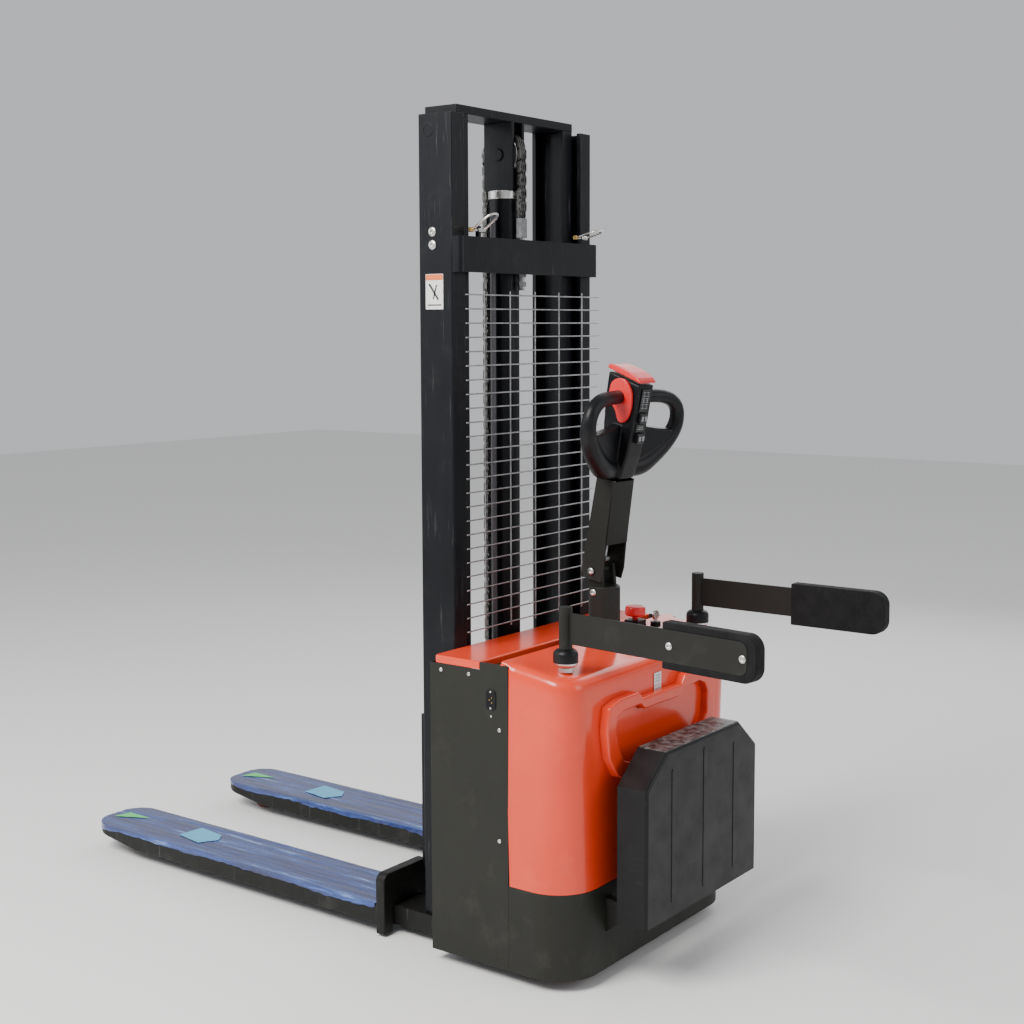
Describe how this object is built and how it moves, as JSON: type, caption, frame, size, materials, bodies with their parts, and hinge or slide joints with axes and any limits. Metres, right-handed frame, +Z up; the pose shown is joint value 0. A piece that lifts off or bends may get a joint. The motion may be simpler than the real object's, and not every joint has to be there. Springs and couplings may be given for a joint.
{
  "type": "walkie stacker",
  "caption": "Walkie stacker with a two-stage mast, forks over support legs, tiller steering, fold-up operator platform and swing-out guard arms.",
  "frame": {"origin": "on the floor under the middle of the parked footprint", "axes": "+Y forwards along the forks, +X to the truck's right seen from the operator, +Z up"},
  "size_m": [0.775, 2.256, 2.115],
  "materials": {
    "mast_black": "satin black powder coat",
    "fork_blue_black": "dark satin paint",
    "panel_grey": "fine-textured dark grey powder coat",
    "cover_orange": "glossy orange-red",
    "platform_black": "satin black, worn along the top edge",
    "head_black": "satin black moulded plastic",
    "signal_red": "red moulded plastic",
    "button_grey": "grey moulded plastic",
    "pad_foam": "black moulded foam",
    "wheel_tread": "polyurethane tread",
    "zinc": "zinc-plated steel",
    "chain_steel": "oiled steel",
    "rod_chrome": "hard chrome",
    "drive_grey": "grey cast housing",
    "battery_case": "battery case"
  },
  "bodies": {
    "truck": {"chassis_frame": "mast_black", "support_legs": "mast_black", "outer_channels": "mast_black", "mast_crossbar": "mast_black", "lift_cylinder": "mast_black", "chain_anchor": "chain_steel", "hydraulic_pipe": "mast_black", "mesh_guard": "zinc", "side_panels": "panel_grey", "rear_skirt": "panel_grey", "deck_strip": "cover_orange", "slot_plate": "panel_grey", "main_cover": "cover_orange", "charge_socket": "head_black", "zinc_screws": "zinc", "batteries": "battery_case", "pump_unit": "head_black", "motor_controller": "head_black", "stop_base": "head_black", "key_switch": "head_black", "platform_brackets": "panel_grey", "arm_boots": "pad_foam", "chain_rear_run": "chain_steel"},
    "inner_mast": {"inner_channels": "mast_black", "inner_mast_ties": "mast_black", "lift_rod": "rod_chrome", "chain_wheel_block": "mast_black", "chain_wheel_pin": "zinc", "chain_front_run": "chain_steel"},
    "chain_wheel": {"chain_wheel": "chain_steel"},
    "mast_rollers": {"mast_rollers": "chain_steel"},
    "carriage": {"carriage_frame": "mast_black", "left_fork": "fork_blue_black", "right_fork": "fork_blue_black"},
    "upper_rollers": {"upper_carriage_rollers": "chain_steel"},
    "lower_rollers": {"lower_carriage_rollers": "chain_steel"},
    "steered_unit": {"drive_gearbox": "drive_grey", "drive_motor": "drive_grey", "tiller_base": "panel_grey"},
    "drive_wheel": {"drive_wheel": "wheel_tread"},
    "tiller": {"tiller_arm": "panel_grey", "gas_spring": "zinc", "tiller_head": "head_black"},
    "throttle": {"throttle_wings": "signal_red"},
    "belly_button": {"belly_button": "signal_red"},
    "raise_button": {"raise_button": "button_grey"},
    "lower_button": {"lower_button": "button_grey"},
    "platform": {"platform_plate": "platform_black"},
    "left_guard": {"left_guard_arm": "panel_grey", "left_arm_pad": "pad_foam"},
    "right_guard": {"right_guard_arm": "panel_grey", "right_arm_pad": "pad_foam"},
    "left_castor": {"left_castor_fork": "zinc"},
    "left_castor_wheel": {"left_castor_wheel": "wheel_tread"},
    "right_castor": {"right_castor_fork": "zinc"},
    "right_castor_wheel": {"right_castor_wheel": "wheel_tread"},
    "load_rollers": {"load_rollers": "wheel_tread"},
    "stop_button": {"stop_button": "signal_red"},
    "ignition_key": {"ignition_key": "zinc"},
    "shackles": {"lifting_shackles": "zinc"}
  },
  "joints": [
    {"name": "mast_lift", "type": "slide", "parent": "truck", "child": "inner_mast", "axis": [0, 0, 1], "range_m": [0, 1.4], "deforming": ["chain_rear_run"]},
    {"name": "carriage_lift", "type": "slide", "parent": "inner_mast", "child": "carriage", "axis": [0, 0, 1], "range_m": [0, 1.4], "deforming": ["chain_front_run"]},
    {"name": "chain_wheel_spin", "type": "hinge", "parent": "inner_mast", "child": "chain_wheel", "pos_m": [0, -0.18, 2.013], "axis": [1, 0, 0], "range_deg": [-10, 1500]},
    {"name": "mast_roller_spin", "type": "hinge", "parent": "inner_mast", "child": "mast_rollers", "pos_m": [0, -0.195, 0.15], "axis": [1, 0, 0], "range_deg": [-10, 2200]},
    {"name": "upper_roller_spin", "type": "hinge", "parent": "carriage", "child": "upper_rollers", "pos_m": [0, -0.172, 0.5], "axis": [1, 0, 0], "range_deg": [-2200, 10]},
    {"name": "lower_roller_spin", "type": "hinge", "parent": "carriage", "child": "lower_rollers", "pos_m": [0, -0.172, 0.19], "axis": [1, 0, 0], "range_deg": [-10, 2200]},
    {"name": "tiller_steer", "type": "hinge", "parent": "truck", "child": "steered_unit", "pos_m": [0, -0.494, 0.27], "axis": [0, 0, 1], "range_deg": [-86, 94]},
    {"name": "drive_wheel_spin", "type": "hinge", "parent": "steered_unit", "child": "drive_wheel", "pos_m": [0, -0.494, 0.115], "axis": [0.9976, -0.0698, 0], "continuous": true},
    {"name": "tiller_tilt", "type": "hinge", "parent": "steered_unit", "child": "tiller", "pos_m": [0.00042, -0.48801, 0.959], "axis": [0.9976, -0.0698, 0], "range_deg": [0, 70], "stiffness_Nm_per_rad": 16, "springref_deg": -28.65},
    {"name": "throttle_turn", "type": "hinge", "parent": "tiller", "child": "throttle", "pos_m": [-0.00472, -0.56145, 1.39888], "axis": [0.9976, -0.0698, 0], "range_deg": [-18, 18], "stiffness_Nm_per_rad": 1},
    {"name": "belly_press", "type": "slide", "parent": "tiller", "child": "belly_button", "axis": [0.0115, 0.1646, -0.9863], "range_m": [0, 0.003], "stiffness_N_per_m": 900, "springref_m": -0.004},
    {"name": "raise_press", "type": "slide", "parent": "tiller", "child": "raise_button", "axis": [0.0688, 0.9839, 0.165], "range_m": [0, 0.003], "stiffness_N_per_m": 600, "springref_m": -0.002},
    {"name": "lower_press", "type": "slide", "parent": "tiller", "child": "lower_button", "axis": [0.0688, 0.9839, 0.165], "range_m": [0, 0.003], "stiffness_N_per_m": 600, "springref_m": -0.002},
    {"name": "platform_fold", "type": "hinge", "parent": "truck", "child": "platform", "pos_m": [0, -0.7, 0.182], "axis": [1, 0, 0], "range_deg": [0, 90], "stiffness_Nm_per_rad": 18, "springref_deg": -51.57},
    {"name": "left_guard_swing", "type": "hinge", "parent": "truck", "child": "left_guard", "pos_m": [-0.308, -0.588, 0.85], "axis": [0, 0, 1], "range_deg": [0, 87]},
    {"name": "right_guard_swing", "type": "hinge", "parent": "truck", "child": "right_guard", "pos_m": [0.308, -0.588, 0.85], "axis": [0, 0, 1], "range_deg": [-80, 0]},
    {"name": "left_castor_swivel", "type": "hinge", "parent": "truck", "child": "left_castor", "pos_m": [-0.275, -0.528, 0.125], "axis": [0, 0, 1], "continuous": true},
    {"name": "left_castor_roll", "type": "hinge", "parent": "left_castor", "child": "left_castor_wheel", "pos_m": [-0.275, -0.556, 0.055], "axis": [1, 0, 0], "continuous": true},
    {"name": "right_castor_swivel", "type": "hinge", "parent": "truck", "child": "right_castor", "pos_m": [0.275, -0.528, 0.125], "axis": [0, 0, 1], "continuous": true},
    {"name": "right_castor_roll", "type": "hinge", "parent": "right_castor", "child": "right_castor_wheel", "pos_m": [0.275, -0.556, 0.055], "axis": [1, 0, 0], "continuous": true},
    {"name": "load_roller_roll", "type": "hinge", "parent": "truck", "child": "load_rollers", "pos_m": [0, 1.002, 0.036], "axis": [1, 0, 0], "continuous": true},
    {"name": "stop_press", "type": "slide", "parent": "truck", "child": "stop_button", "axis": [0, 0, -1], "range_m": [0, 0.006]},
    {"name": "key_turn", "type": "hinge", "parent": "truck", "child": "ignition_key", "pos_m": [0.222, -0.51, 0.79], "axis": [0, 0, 1], "range_deg": [0, 90]},
    {"name": "shackle_swing", "type": "hinge", "parent": "truck", "child": "shackles", "pos_m": [0, -0.269, 1.808], "axis": [1, 0, 0], "range_deg": [-30, 55]}
  ],
  "couplings": [
    {"joint": "carriage_lift", "follows": "mast_lift", "ratio": 1},
    {"joint": "chain_wheel_spin", "follows": "mast_lift", "rad_per_m": 17.857},
    {"joint": "mast_roller_spin", "follows": "mast_lift", "rad_per_m": 25.907},
    {"joint": "upper_roller_spin", "follows": "mast_lift", "rad_per_m": -25.907},
    {"joint": "lower_roller_spin", "follows": "mast_lift", "rad_per_m": 25.907}
  ]
}
